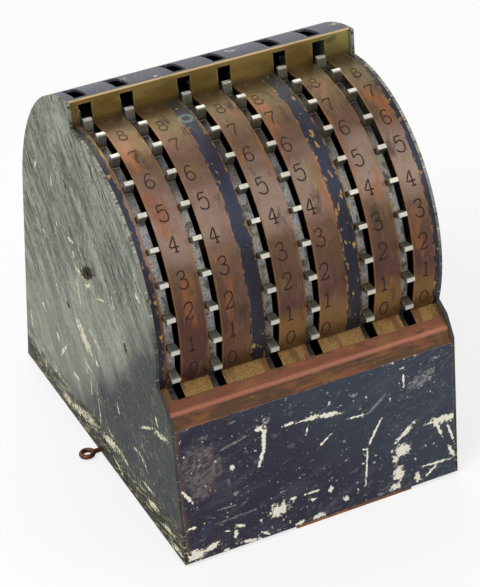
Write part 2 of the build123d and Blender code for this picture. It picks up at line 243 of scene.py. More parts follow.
def nearness(flat, spots, ragged, size):
    """1 in the middle of each spot, 0.5 at its ragged edge and 0 as far again outside it.
    A spot is (across, up, half length, half width, turn), in mm and degrees; size is the
    size of the teeth of its ragged edge."""
    nearest = None
    for across, up, long, wide, turn in spots:
        laid = ((across, up, 0.0), (0.0, 0.0, math.radians(turn)), (2.0 * long, 2.0 * wide, 1.0))
        near = flat.node("TexGradient", {"gradient_type": "SPHERICAL", "laid": laid},
                         {"Vector": flat}, "Fac")
        nearest = near if nearest is None else nearest | near
    return nearest + (grain(flat, size, detail=5.0) - 0.5) * (2.0 * ragged)


def chips(near):
    """Mask of the spots themselves."""
    return between(near, 0.44, 0.56)


def worn_edge(place, radius):
    """Mask of the outer edges, within this many mm of them."""
    rounded = place.node("Bevel", {"samples": 4}, {"Radius": radius / 1000.0})
    facing = place.node("NewGeometry", (), (), "Normal")
    agree = place.node("VectorMath", {"operation": "DOT_PRODUCT"}, {0: rounded, 1: facing}, "Value")
    return between(1.0 - agree, 0.015, 0.12)


def relief(height, depth, radius=0.25):
    """The normal of a surface with these bumps, depth in mm, over softly rounded edges."""
    rounded = height.node("Bevel", {"samples": 4}, {"Radius": radius / 1000.0})
    return height.node("Bump", (), {
        "Height": height, "Distance": depth / 1000.0, "Normal": rounded})


screw_hole = (-12.2, 93.6)
side_scratches = [
    (2.6, 56.6, 8.4, 3.2, 39), (36.4, 6.8, 4.7, 2.16, -1), (16.8, 10.4, 15.4, 2.03, -13),
    (-15.4, 14.9, 9.9, 2.03, -10), (-10.2, 50.5, 2.2, 1.01, 68), (-5.9, 25.8, 5.7, 0.58, -88),
    (1.6, 42.6, 4.2, 0.58, 9), (32.4, 33.6, 6.0, 0.81, -44), (43.8, 14.6, 10.5, 0.58, -1),
    (37.8, 37.6, 2.3, 1.15, 68), (-73.0, 59.4, 2.0, 0.86, 68), (-76.9, 55.0, 6.9, 1.22, -17),
    (-61.0, 49.6, 7.9, 0.54, -29), (-45.4, 29.7, 3.2, 0.58, -5), (-52.5, 28.8, 4.4, 0.68, 30),
    (-58.1, 11.0, 4.9, 1.76, -8), (-72.8, 8.6, 5.7, 0.94, -8), (-79.8, 4.1, 6.9, 1.22, -7),
    (-30.4, 15.6, 5.3, 0.68, 11), (-20.8, 7.0, 5.4, 0.68, 22), (73.6, 27.1, 3.7, 0.81, -86),
    (52.4, 44.8, 2.1, 1.01, 37), (69.4, 14.1, 4.3, 0.58, 37), (-47.6, 78.8, 2.4, 0.68, 47),
    (-54.9, 17.4, 4.4, 0.81, -4), (61.7, 9.8, 2.4, 0.58, -83), (1.4, 31.8, 4.0, 0.68, -87),
    (-16.1, 20.4, 2.7, 0.68, 23), (-12.1, 61.8, 7.1, 0.54, 20), (19.3, 27.6, 4.0, 0.94, -2),
    (-3.8, 88.9, 5.9, 1.22, 2), (1.6, 78.4, 5.3, 0.61, 84), (37.4, 88.9, 1.8, 0.94, 9),
    (3.8, 100.8, 2.7, 0.81, -5), (-67.3, 110.8, 2.2, 0.94, 27), (36.6, 120.5, 2.8, 0.81, -52),
    (-66.6, 120.0, 1.9, 0.81, 82), (-11.1, 87.4, 3.4, 0.81, -27), (-38.9, 93.2, 2.6, 0.54, 79),
    (-24.7, 87.9, 4.9, 0.47, -20), (18.6, 120.0, 2.9, 0.61, -88), (18.8, 100.8, 1.7, 0.54, 78),
    (2.0, 95.0, 1.4, 1.22, 49), (30.0, 66.0, 2.6, 0.94, 62), (-30.0, 40.0, 2.2, 0.68, 75),
]
side_pits = [
    (-47.3, 78.3, 2.2, 1.3, 60), (17.6, 63.6, 2.0, 1.2, 50), (1.1, 126.6, 2.0, 1.0, 70),
    (*screw_hole, 9.5, 2.6, -30),
]


def side_enamel(name, scratches, pits):
    """The enamel of one side panel, with its scratches and pits given in depth and height."""
    made, place = new_finish(name)
    _, y, z = split(place)
    flat = lay_flat(y, z)
    blotch = grain(flat, 24.0, shift=3.0, detail=4.0)
    # Painted shade: low at the front the enamel turns darker and bluer, and the haze, flicks and
    # specks thin out there.
    low_front_shade = between(z + y * 0.85 + (blotch - 0.5) * 50.0, 50.0, 16.0)
    colour = mix(low_front_shade, tint(124, 127, 117), tint(48, 52, 57))
    haze = between(grain(flat, (40.0, 8.0, 20.0), turn=55, shift=11.0, detail=4.0), 0.42, 0.6)
    colour = mix(haze * (0.75 - low_front_shade * 0.68), colour, tint(158, 160, 148))
    thick = between(grain(flat, (30.0, 15.0, 20.0), turn=45, shift=41.0), 0.42, 0.58)
    high = between(z + y * 0.3, 45.0, 110.0) * 0.8 + 0.2
    smoke = between(grain(flat, (24.0, 5.0, 9.0), turn=48, shift=29.0, detail=5.0), 0.47, 0.64)
    colour = mix(smoke * high * 0.75, colour, tint(78, 83, 73))
    streak = between(grain(flat, (9.0, 1.1, 9.0), turn=50, shift=20.0, detail=5.0), 0.5, 0.62)
    colour = mix(streak * thick * high * 0.95, colour, tint(38, 43, 36))
    grit = between(grain(flat, (2.4, 0.8, 2.0), turn=56, shift=64.0, detail=4.0), 0.52, 0.64)
    colour = mix(grit * (high * 0.65 + 0.15), colour, tint(50, 55, 45))
    rust = between(grain(flat, (8.0, 2.0, 4.0), turn=58, shift=57.0, detail=5.0), 0.62, 0.68)
    colour = mix(rust * 0.6, colour, tint(104, 80, 46))

    grime = grain(flat, (19.0, 5.0, 5.0), turn=-8, shift=7.0, detail=5.0)
    foot = between(z + (grime - 0.5) * 40.0, 21.0, 7.0)
    colour = mix(foot * 0.92, colour, tint(38, 37, 28))
    dragged = between(grain(flat, (7.0, 0.9, 5.0), turn=-11, shift=13.0, detail=6.0), 0.56, 0.62)
    colour = mix(dragged * between(z, 24.0, 9.0) * 0.75, colour, tint(168, 164, 120))
    flicks = between(grain(flat, (4.2, 0.55, 5.0), turn=62, shift=71.0, detail=4.0), 0.6, 0.65)
    few = between(grain(flat, 16.0, shift=91.0), 0.46, 0.6) * between(z - y * 0.25, 120.0, 70.0)
    colour = mix(flicks * few * (0.95 - low_front_shade * 0.4), colour, tint(206, 203, 166))
    specks = between(grain(flat, (1.6, 0.8, 1.2), turn=60, shift=33.0, detail=2.0), 0.66, 0.71)
    colour = mix(specks * (0.85 - low_front_shade * 0.35), colour, tint(206, 203, 168))
    broken = between(grain(flat, (2.4, 0.8, 2.0), turn=58, shift=19.0, detail=5.0), 0.42, 0.5)
    bare = chips(nearness(flat, scratches, ragged=0.9, size=1.5)) * broken
    colour = mix(bare * 0.95, colour, tint(226, 220, 190))
    pit = chips(nearness(flat, pits, ragged=0.7, size=1.4))
    colour = mix(pit, colour, tint(20, 17, 13))
    edge = worn_edge(place, 0.55) * between(grain(place, 3.0, shift=5.0), 0.36, 0.52)
    colour = mix(edge * 0.85, colour, tint(112, 92, 62))
    widest = [spot for spot in scratches if spot[3] > 1.2]
    deepest = chips(nearness(flat, widest, ragged=0.9, size=1.5))
    texture = grain(flat, 0.9, detail=4.0) * 0.35 + deepest * -0.6 + pit * -1.4 + streak * -0.2
    set_finish(made, Base_Color=colour, Normal=relief(texture, 0.10),
               Roughness=0.52 + bare * 0.25 + streak * 0.15 + haze * 0.1,
               Specular_IOR_Level=0.1)
    return made


# The right side has every second scratch of the left, mirrored front to back, a little closer.
right_scratches = [(4.0 - depth, height * 0.92 + 5.0, long, wide, -turn)
                   for depth, height, long, wide, turn in side_scratches[::2]]
nodes["left_side_panel"].material_slots[0].material = side_enamel(
    "left_enamel", side_scratches, side_pits)
nodes["right_side_panel"].material_slots[0].material = side_enamel(
    "right_enamel", right_scratches, side_pits[1:2])


# ---------------------------------------------------------------------------------------------
# Front wall: one folded steel sheet, dark purple-black enamel, slate-coloured to the right, over
# a cream primer that shows wherever the enamel has chipped off.

wall_chips = [
    (-23.2, 47.5, 5.6, 0.9, 84), (-24.6, 40.0, 4.4, 0.7, 72), (-19.0, 12.4, 3.6, 2.6, 0),
    (-12.6, 50.2, 2.1, 0.64, 4), (-7.0, 49.6, 2.1, 0.32, 4), (-2.6, 49.7, 2.5, 1.04, 0),
    (3.9, 48.6, 4.6, 0.96, -8), (23.8, 33.6, 6.5, 0.48, 59), (19.4, 18.1, 9.4, 0.4, 84),
    (19.0, 26.8, 1.4, 0.4, -29), (36.9, 28.6, 4.6, 1.0, 37), (35.3, 20.6, 3.2, 2.6, 0),
    (32.2, 17.1, 1.1, 1.6, 0), (33.2, 9.8, 2.2, 3.4, 0), (31.7, 4.0, 2.2, 1.3, 0),
    (53.7, 28.8, 5.9, 1.6, 0), (51.7, 25.6, 4.5, 0.6, -73), (57.2, 21.4, 4.9, 0.5, -73),
    (57.4, 11.8, 2.9, 0.8, -69), (41.7, 5.2, 1.1, 2.2, 0), (50.3, 9.0, 6.9, 0.5, -4),
    (48.2, 6.2, 2.9, 0.5, 38), (-2.1, 2.9, 2.7, 1.0, 0), (-10.5, 2.8, 1.8, 0.8, 16),
    (-13.0, 15.2, 1.1, 0.7, 0), (-4.6, 15.2, 3.0, 0.48, 1), (-4.5, 11.7, 1.3, 0.6, 0),
    (3.4, 13.6, 1.0, 1.3, 0), (-55.1, 4.4, 3.7, 2.2, 0), (-48.3, 5.8, 2.8, 1.2, 16),
    (-42.4, 2.0, 1.1, 0.6, 0), (-32.2, 2.4, 3.9, 0.64, -9), (-25.6, 3.6, 2.2, 0.48, -39),
    (-36.1, 11.1, 1.9, 0.72, -18), (-37.8, 8.0, 1.0, 1.4, 0), (-41.4, 10.6, 1.5, 0.25, -18),
    (-55.7, 17.5, 1.4, 0.56, -4), (2.0, 37.1, 3.1, 0.5, 38), (-5.2, 44.4, 1.7, 0.4, 76),
    (16.0, 43.4, 3.4, 0.4, -3), (37.1, 53.0, 2.7, 0.4, -90), (-56.3, 32.2, 3.2, 0.6, -62),
    (9.8, 6.5, 1.0, 1.3, 0), (-37.2, 39.0, 1.0, 1.1, 0), (-24.6, 52.4, 2.2, 1.04, -31),
]
wall_scuffs = [
    (-37.5, 15.9, 10.1, 0.5, 2), (-41.1, 21.7, 3.9, 0.36, -4), (-35.0, 50.0, 6.2, 0.6, 14),
    (25.4, 46.4, 4.8, 0.6, 40), (-21.6, 55.2, 1.3, 1.6, 0), (15.3, 53.5, 1.6, 0.7, 0),
    (24.7, 2.9, 1.4, 0.8, 0), (33.3, 2.6, 5.7, 0.25, 0), (-47.4, 56.4, 1.8, 0.8, -15),
    (-39.0, 32.8, 0.6, 1.8, 0), (-36.6, 26.9, 1.0, 1.0, 0), (44.0, 50.0, 5.0, 2.6, 10),
    (10.2, 33.9, 0.6, 0.8, 0), (-35.8, 59.2, 1.4, 0.5, 6), (48.5, 53.0, 2.2, 1.8, 0),
]
wall_end_x = -58.8
bald_x, bald_z = -50.0, 43.0
wall_paint, place = new_finish("front_enamel")
x, _, z = split(place)
flat = lay_flat(x, z)
cloud = grain(flat, 30.0, shift=2.0)
slate = between(x + z * 1.1 + (cloud - 0.5) * 60.0, 5.0, 75.0)
colour = mix(slate, tint(36, 33, 50), tint(46, 53, 66))
dust = between(grain(flat, (24.0, 6.0, 10.0), turn=20, shift=8.0, detail=4.0), 0.5, 0.72)
colour = mix(dust * 0.35, colour, tint(84, 88, 98))
aside, above = x - bald_x, z - bald_z
frayed = (grain(flat, 5.0, turn=30, shift=14.0, detail=6.0) - 0.5) * 4.6
bald = between(aside * aside / 60.0 + above * above / 150.0 + frayed, 1.2, 0.6)
mottle = between(grain(flat, (2.4, 1.4, 2.0), turn=30, shift=39.0, detail=6.0), 0.4, 0.6)
colour = mix(bald * (mottle * 0.7 + 0.2), colour, tint(104, 97, 94))
frayed = (grain(flat, (2.0, 9.0, 3.0), shift=21.0, detail=4.0) - 0.5) * 4.0
left_end = between(x + frayed, wall_end_x + 2.4, wall_end_x + 0.2)
colour = mix(left_end * 0.7, colour, tint(86, 66, 62))
blush = between(grain(flat, 6.0, shift=77.0, detail=5.0), 0.6, 0.7) * between(x, -20.0, -50.0)
colour = mix(blush * 0.5, colour, tint(92, 62, 58))
# Pale rubbed patches in the enamel.
rubbed_and_highlight = between(grain(flat, (5.0, 3.0, 4.0), turn=15, shift=31.0, detail=6.0), 0.62, 0.68)
colour = mix(rubbed_and_highlight * 0.4, colour, tint(112, 112, 112))
ticks = between(grain(flat, (5.0, 0.35, 4.0), turn=24, shift=51.0), 0.7, 0.73)
more_ticks = between(grain(flat, (4.0, 0.3, 4.0), turn=-38, shift=61.0), 0.71, 0.74)
colour = mix((ticks | more_ticks) * 0.7, colour, tint(150, 152, 152))
specks = between(grain(flat, 1.1, shift=17.0, detail=2.0), 0.7, 0.75)
colour = mix(specks * 0.85, colour, tint(214, 208, 190))
rough_right = between(x, 20.0, 48.0) * between(z, 20.0, 44.0) + between(z, 12.0, 3.0)
brushed = between(grain(flat, (5.0, 1.0, 3.0), turn=24, shift=83.0, detail=6.0), 0.56, 0.66)
colour = mix(brushed * rough_right * 0.6, colour, tint(112, 112, 106))
flaked = between(grain(flat, 2.0, shift=88.0, detail=5.0), 0.63, 0.67)
clusters = between(grain(flat, 12.0, shift=95.0, detail=2.0), 0.5, 0.6)
colour = mix(flaked * clusters * 0.9, colour, tint(224, 219, 200))
scuff = chips(nearness(flat, wall_scuffs, ragged=0.8, size=1.5))
colour = mix(scuff * (mottle * 0.6 + 0.2), colour, tint(140, 140, 136))
near = nearness(flat, wall_chips, ragged=0.95, size=1.5)
colour = mix(between(near, 0.3, 0.42) * 0.75, colour, tint(108, 104, 98))
bare = chips(near)
colour = mix(bare, colour, tint(233, 228, 210))
edge = worn_edge(place, 0.6) * between(grain(place, 2.6, shift=9.0), 0.4, 0.56)
colour = mix(edge * 0.8, colour, tint(150, 140, 120))
widest = [spot for spot in wall_chips if spot[3] > 0.9]
deepest = chips(nearness(flat, widest, ragged=0.95, size=1.5))
texture = grain(flat, 1.3, detail=4.0) * 0.25 + deepest * -0.8 + cloud * 2.0
set_finish(wall_paint, Base_Color=colour, Normal=relief(texture, 0.13),
           Roughness=0.46 + bare * 0.3 + bald * 0.2 + dust * 0.12, Specular_IOR_Level=0.22)
nodes["front_wall"].material_slots[0].material = wall_paint


# ---------------------------------------------------------------------------------------------
# Stop bar: a cap of copper sheet folded over the front wall's upper edge. Its ridge carries a
# painted highlight, bright and pink, while both faces have gone brown and blotched.

fold_height = 68.6
bar_copper, place = new_finish("rubbed_copper")
_, y, z = split(place)
wave = grain(place, (16.0, 5.0, 5.0), shift=4.0, detail=4.0)
upper = between(y, -85.6, -84.9)
colour = mix(upper, tint(82, 60, 42), tint(106, 66, 48))
colour = mix(between(wave, 0.46, 0.66) * 0.65, colour, tint(134, 80, 56))
gold = between(grain(place, (13.0, 6.0, 6.0), shift=23.0, detail=5.0), 0.55, 0.68)
colour = mix(gold * 0.6, colour, tint(122, 88, 50))
stain = between(grain(place, (9.0, 4.0, 4.0), shift=36.0, detail=5.0), 0.56, 0.68)
colour = mix(stain * 0.7, colour, tint(62, 40, 38))
green = between(grain(place, 4.0, shift=47.0, detail=4.0), 0.67, 0.73)
colour = mix(green * 0.6, colour, tint(112, 112, 88))
scored = between(grain(place, (26.0, 0.5, 0.5), shift=58.0, detail=4.0), 0.56, 0.68)
colour = mix(scored * 0.4, colour, tint(156, 104, 80))
# Painted highlight along the ridge of the fold.
ridge_highlight = between(abs(z - fold_height), 1.1, 0.2) * between(y, -83.5, -84.6)
colour = mix(ridge_highlight * 0.6, colour, tint(170, 112, 92))
dull_edge = worn_edge(place, 0.5)
colour = mix(dull_edge * 0.45, colour, tint(160, 104, 78))
texture = wave * 1.2 + scored * -0.25 + grain(place, 0.8, detail=3.0) * 0.25
set_finish(bar_copper, Base_Color=colour, Normal=relief(texture, 0.14, 0.5),
           Roughness=0.46 + stain * 0.2 - ridge_highlight * 0.08, Metallic=0.7 - stain * 0.3,
           Specular_IOR_Level=0.3)
nodes["copper_stop_bar"].material_slots[0].material = bar_copper


# ---------------------------------------------------------------------------------------------
# Slotted face plate: brass sheet rolled round the wheels, copper-toned where it is handled, with
# two stripes and both margins painted blue, and a flat bright ledge at its foot. A greenish ring
# is stuck on the first stripe.
# Angles are about the wheel axis, in degrees: 0 is straight ahead and 90 straight up.

wheel_joints = [joint for joint in frame["joints"] if joint["name"].startswith("wheel_")]
_, axis_y, axis_z = (1000.0 * part for part in wheel_joints[0]["pos_m"])
# A slot's middle is half a millimetre to the right of its wheel's joint.
slot_centres = [1000.0 * joint["pos_m"][0] + 0.5 for joint in wheel_joints]
slot_half_width = 2.7
face_radius = 60.8
ledge_angle = -20.0
painted_bands = ((-60.0, -56.3), (-21.6, -15.0), (18.8, 25.4), (56.4, 60.0))
mark_x, mark_angle, mark_radius = -18.9, 81.4, 2.3


def angle_at(y, z):
    """Angle about the wheel axis, in degrees."""
    return z.maths("ARCTAN2", z - axis_z, axis_y - y) * (180.0 / math.pi)


def square_length(across, along):
    """The square of a length from its two parts."""
    return across * across + along * along


face_metal, place = new_finish("handled_brass")
x, y, z = split(place)
angle = angle_at(y, z)
arc = angle * (math.radians(1.0) * face_radius)
flat = lay_flat(x, arc)
shifted = angle + (grain(flat, (40.0, 14.0, 10.0), shift=6.0) - 0.5) * 26.0
colour = mix(between(shifted, 2.0, 20.0), tint(82, 54, 46), tint(94, 72, 55))
colour = mix(between(shifted, 62.0, 84.0), colour, tint(98, 84, 58))
# Painted highlight: a pale pinkish band across the middle of the rounded face.
rubbed_and_highlight = between(shifted, 22.0, 36.0) * between(shifted, 62.0, 46.0)
colour = mix(rubbed_and_highlight * 0.85, colour, tint(138, 118, 106))
foot_gold = between(shifted, 2.0, -12.0) * between(x, -40.0, -8.0)
colour = mix(foot_gold * 0.75, colour, tint(128, 96, 50))
warm = between(grain(flat, (9.0, 22.0, 10.0), shift=19.0, detail=4.0), 0.52, 0.66)
colour = mix(warm * between(shifted, 90.0, 66.0) * 0.75, colour, tint(138, 86, 56))
rosy = between(grain(flat, (14.0, 20.0, 10.0), shift=27.0, detail=3.0), 0.5, 0.66)
colour = mix(rosy * 0.4, colour, tint(112, 80, 74))
brown = between(grain(flat, (6.0, 14.0, 6.0), shift=38.0, detail=5.0), 0.56, 0.7)
colour = mix(brown * 0.7, colour, tint(64, 48, 38))
olive = between(grain(flat, (8.0, 16.0, 6.0), shift=55.0, detail=4.0), 0.58, 0.7)
colour = mix(olive * 0.5, colour, tint(112, 98, 58))
fleck = between(grain(flat, 0.9, shift=63.0, detail=3.0), 0.62, 0.7)
colour = mix(fleck * 0.3, colour, tint(60, 42, 34))
hairline = between(grain(flat, (0.35, 9.0, 3.0), shift=81.0, detail=3.0), 0.6, 0.68)
colour = mix(hairline * 0.3, colour, tint(160, 128, 104))
cross_line = between(grain(flat, (6.0, 0.4, 3.0), turn=14, shift=87.0, detail=3.0), 0.66, 0.7)
colour = mix(cross_line * 0.35, colour, tint(92, 66, 58))

sides = None
for centre in slot_centres:
    from_slot = abs(x - centre)
    sides = from_slot if sides is None else sides & from_slot
frayed = (grain(flat, (2.0, 5.0, 2.0), shift=93.0) - 0.5) * 0.9
rim_glow = between(sides + frayed, slot_half_width + 0.85, slot_half_width + 0.15)
colour = mix(rim_glow * 0.45, colour, tint(146, 104, 60))

ledge = between(angle, ledge_angle, ledge_angle - 0.7)
sand = grain(place, 0.45, shift=3.0, detail=3.0)
bright = mix(between(sand, 0.34, 0.66), tint(110, 84, 48), tint(156, 124, 76))
tarnish = between(grain(flat, 5.0, shift=97.0, detail=5.0), 0.48, 0.6)
bright = mix(tarnish * 0.7, bright, tint(92, 64, 44))
colour = mix(ledge, colour, bright)

stripes = None
for low, high in painted_bands:
    wobble = (grain(flat, (3.0, 10.0, 3.0), shift=low, detail=3.0) - 0.5) * 0.9
    inside = (x + wobble - low) & (high - x + wobble)
    stripes = inside if stripes is None else stripes | inside
flaking = (grain(flat, (1.6, 5.5, 3.0), shift=44.0, detail=6.0) - 0.5) * 3.0
paint = between(stripes + (flaking & 0.35), 0.05, 0.35) * (1.0 - ledge)
clusters = between(grain(flat, (12.0, 16.0, 9.0), shift=73.0), 0.46, 0.56)
lost = between(grain(flat, (2.2, 4.5, 3.0), shift=67.0, detail=6.0), 0.6, 0.63) * clusters
pale = between(grain(flat, (5.0, 22.0, 6.0), shift=71.0), 0.4, 0.62)
blue = mix(pale, tint(20, 18, 31), tint(32, 31, 50))
# The same painted highlight on the blue paint.
blue = mix(rubbed_and_highlight * 0.5, blue, tint(58, 62, 82))
blue = mix(between(shifted, 66.0, 82.0), blue, tint(44, 44, 46))
blue = mix(between(shifted, 6.0, -14.0) * 0.8, blue, tint(22, 19, 26))
thinned = between(grain(flat, (1.2, 3.0, 2.0), shift=59.0, detail=4.0), 0.5, 0.58)
edge_of_paint = between(stripes, 1.1, 0.3) * thinned
blue = mix(edge_of_paint * 0.8, blue, tint(142, 108, 62))
colour = mix(paint, colour, mix(lost, blue, tint(150, 118, 66)))
mark_arc = mark_angle * math.radians(1.0) * face_radius
from_mark = square_length(x - mark_x, arc - mark_arc) ** 0.5
stuck_ring = between(abs(from_mark - mark_radius), 1.0, 0.4)
colour = mix(stuck_ring * 0.7, colour, tint(96, 116, 110))

sheen = between(grain(flat, (9.0, 16.0, 6.0), shift=99.0), 0.45, 0.65)
texture = (grain(flat, (1.1, 3.0, 2.0), detail=4.0) * 0.3 + hairline * -0.2 + paint * 0.7
           + grain(flat, 5.0, shift=12.0) * 1.5 + ledge * sand * 1.6)
set_finish(face_metal, Base_Color=colour, Normal=relief(texture, 0.12, 0.3),
           Roughness=0.40 + brown * 0.18 + fleck * 0.1 - sheen * 0.06 + paint * 0.04,
           Metallic=(0.8 - brown * 0.25) * (1.0 - paint), Specular_IOR_Level=0.25)
nodes["slotted_face_plate"].material_slots[0].material = face_metal


# ---------------------------------------------------------------------------------------------
# Stamped numerals: 0 at the foot to 9 under the strip, to the right of each slot, one to a peg.
# They are struck with thin old-fashioned punches and their grooves are full of dark dirt.

numeral_height, groove_width, groove_depth = 6.3, 0.6, 0.14
first_angle, peg_step = -14.5, 12.0
column_x = (-45.0, -28.8, -5.0, 10.6, 34.9, 52.7)


def ring_of(across, up, half_across, half_up):
    """Eight points round a closed loop of a numeral."""
    return [(across + half_across * math.cos(math.radians(turn)),
             up + half_up * math.sin(math.radians(turn))) for turn in range(0, 360, 45)]


six = [("loop", ring_of(0.31, 0.28, 0.27, 0.30)),
       ("bend", [(0.04, 0.26), (0.06, 0.66), (0.28, 1.02), (0.52, 0.97), (0.53, 0.86)])]
numerals = [
    [("loop", ring_of(0.3, 0.5, 0.29, 0.53))],
    [("line", [(0.3, 0.0), (0.3, 1.0)]), ("line", [(0.12, 0.0), (0.48, 0.0)]),
     ("line", [(0.3, 1.0), (0.12, 0.8)])],
    [("bend", [(0.06, 0.74), (0.08, 1.03), (0.55, 1.06), (0.58, 0.66), (0.34, 0.38),
               (0.05, 0.04)]),
     ("line", [(0.05, 0.03), (0.5, 0.03), (0.57, 0.2)])],
    [("bend", [(0.07, 0.84), (0.17, 1.04), (0.52, 1.04), (0.54, 0.6), (0.22, 0.55)]),
     ("bend", [(0.22, 0.55), (0.62, 0.56), (0.62, -0.02), (0.2, -0.08), (0.05, 0.16)])],
    [("line", [(0.42, 0.0), (0.42, 1.0), (0.02, 0.3), (0.62, 0.3)]),
     ("line", [(0.28, 0.0), (0.56, 0.0)])],
    [("line", [(0.53, 0.98), (0.14, 0.98), (0.1, 0.54)]),
     ("bend", [(0.1, 0.54), (0.3, 0.72), (0.62, 0.62), (0.62, -0.04), (0.18, -0.07),
               (0.04, 0.14)])],
    six,
    [("line", [(0.05, 0.8), (0.08, 0.98), (0.56, 0.98)]),
     ("bend", [(0.56, 0.98), (0.4, 0.6), (0.27, 0.35), (0.26, 0.0)])],
    [("loop", ring_of(0.31, 0.76, 0.21, 0.25)), ("loop", ring_of(0.31, 0.26, 0.27, 0.28))],
    [(kind, [(0.6 - across, 1.0 - up) for across, up in points]) for kind, points in six],
]


def punch(strokes, height, width, thickness):
    """One numeral as a thin mesh standing in the plane y = 0, its middle at the origin; in mm."""
    drawn = bpy.data.curves.new("numeral", "CURVE")
    drawn.dimensions = "3D"
    drawn.bevel_depth = width / 2000.0
    drawn.bevel_resolution = 1
    drawn.resolution_u = 4
    drawn.use_fill_caps = True
    for kind, points in strokes:
        line = drawn.splines.new("NURBS")
        line.points.add(len(points) - 1)
        for spot, (across, up) in zip(line.points, points):
            spot.co = ((across - 0.3) * height / 1000.0, 0.0, (up - 0.5) * height / 1000.0, 1.0)
        line.order_u = 2 if kind == "line" else 3
        line.use_cyclic_u = kind == "loop"
        line.use_endpoint_u = kind != "loop"
    made = bpy.data.objects.new("numeral", drawn)
    bpy.context.collection.objects.link(made)
    bpy.ops.object.select_all(action="DESELECT")
    made.select_set(True)
    bpy.context.view_layer.objects.active = made
    bpy.ops.object.convert(target="MESH")
    made = bpy.context.object
    made.scale = (1.0, thickness / width, 1.0)
    bpy.ops.object.transform_apply(location=True, rotation=True, scale=True)
    return made


def copy_of(piece, name):
    """A copy of a piece with a mesh of its own."""
    copied = piece.copy()
    copied.data = piece.data.copy()
    copied.name = name
    bpy.context.collection.objects.link(copied)
    return copied


def on_the_round(piece, x, radius, angle, lean):
    """Puts a flat piece on a circle about the wheel axis, in its mesh; in mm and degrees."""
    bpy.ops.object.select_all(action="DESELECT")
    piece.select_set(True)
    bpy.context.view_layer.objects.active = piece
    piece.rotation_euler = (0.0, math.radians(lean), 0.0)
    piece.location = (0.0, -radius / 1000.0, 0.0)
    bpy.ops.object.transform_apply(location=True, rotation=True, scale=True)
    piece.rotation_euler = (math.radians(-angle), 0.0, 0.0)
    piece.location = (x / 1000.0, axis_y / 1000.0, axis_z / 1000.0)
    bpy.ops.object.transform_apply(location=True, rotation=True, scale=True)


def join_all(pieces, name):
    """Joins pieces into one, at the origin."""
    bpy.ops.object.select_all(action="DESELECT")
    for piece in pieces:
        piece.select_set(True)
    bpy.context.view_layer.objects.active = pieces[0]
    bpy.ops.object.join()
    joined = bpy.context.object
    joined.name = name
    return joined


dirt, place = new_finish("groove_dirt")
x, y, z = split(place)
angle = angle_at(y, z)
flat = lay_flat(x, angle)
colour = mix(between(grain(flat, 2.0, detail=4.0), 0.4, 0.65), tint(34, 22, 20), tint(58, 40, 30))
faded = between(angle + (grain(flat, 5.0, shift=5.0) - 0.5) * 30.0 - x * 0.12, 60.0, 86.0)
colour = mix(faded * 0.9, colour, tint(94, 79, 54))
set_finish(dirt, Base_Color=colour, Roughness=0.75 + faded * 0.1, Metallic=faded * 0.4,
           Specular_IOR_Level=0.2)

punches = [punch(strokes, numeral_height, groove_width, groove_depth) for strokes in numerals]
# How far each struck numeral sits off its place, in degrees; half of it in mm goes sideways.
slips = (0.3, -0.5, 0.2, -0.3, 0.4, -0.2, 0.5, -0.4, 0.1, -0.7)
for column, middle in enumerate(column_x):
    struck = []
    for value, master in enumerate(punches):
        slip = slips[(value + 3 * column) % len(slips)]
        degrees = first_angle + peg_step * value + slip
        one = copy_of(master, "struck")
        on_the_round(one, middle + 0.5 * slip, face_radius, degrees, 5.0 * slip)
        struck.append(one)
    numbers = join_all(struck, f"stamped_numerals_{column + 1}")
    numbers.data.materials.clear()
    numbers.data.materials.append(dirt)
    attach(numbers, "case")
for master in punches:
    bpy.data.objects.remove(master)


# ---------------------------------------------------------------------------------------------
# Top strip: a brass strip on edge across the machine, with a square notch over each slot.
# Its edges are rubbed and its upper edge carries a painted highlight, and its face is ochre with
# darker stains behind the slots.

strip_foot, strip_top = (1000.0 * corner.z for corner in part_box("brass_top_strip"))
strip_metal, place = new_finish("ochre_brass")
x, _, z = split(place)
pale = between(grain(place, (26.0, 8.0, 8.0), shift=3.0), 0.4, 0.62)
colour = mix(pale, tint(124, 102, 52), tint(148, 124, 68))
ends = between(x + (grain(place, 9.0, shift=9.0) - 0.5) * 16.0, 36.0, 52.0)
colour = mix(ends * 0.6, colour, tint(126, 126, 72))
stain = between(grain(place, (10.0, 6.0, 5.0), shift=17.0, detail=5.0), 0.55, 0.68)
colour = mix(stain * 0.8, colour, tint(84, 62, 40))
coppery = between(grain(place, (8.0, 6.0, 3.0), shift=28.0, detail=4.0), 0.6, 0.7)
colour = mix(coppery * 0.5, colour, tint(166, 100, 60))
frayed = (grain(place, 4.0, shift=37.0) - 0.5) * 3.0
low = between(z + frayed, strip_foot + 2.9, strip_foot + 0.6)
colour = mix(low * 0.5, colour, tint(78, 58, 40))
# Rubbed edges and a painted highlight along the upper edge, in one bright colour.
rubbed_and_highlight = worn_edge(place, 0.7) | between(z, strip_top - 0.6, strip_top - 0.1)
colour = mix(rubbed_and_highlight * 0.6, colour, tint(198, 172, 124))
line = between(grain(place, (12.0, 3.0, 0.4), shift=45.0), 0.63, 0.68)
colour = mix(line * 0.4, colour, tint(96, 74, 44))
texture = grain(place, (3.0, 1.0, 1.0), detail=4.0) * 0.5 + grain(place, 9.0) * 1.5
set_finish(strip_metal, Base_Color=colour, Normal=relief(texture, 0.12, 0.35),
           Roughness=0.42 + stain * 0.2, Metallic=0.8 - stain * 0.3)
nodes["brass_top_strip"].material_slots[0].material = strip_metal


# ---------------------------------------------------------------------------------------------
# Rear cover: steel sheet rolled over the top and down the sloping back, glossy blue-black enamel,
# scuffed along the top behind the strip and round the six reading windows, and lighter over the
# top as a painted reflection.

cover_paint, place = new_finish("rear_enamel")
x, y, z = split(place)
angle = angle_at(y, z)
flat = lay_flat(x, y - z)
cloud = grain(flat, (30.0, 18.0, 10.0), shift=5.0)
colour = mix(between(cloud, 0.38, 0.62), tint(36, 35, 46), tint(56, 60, 76))
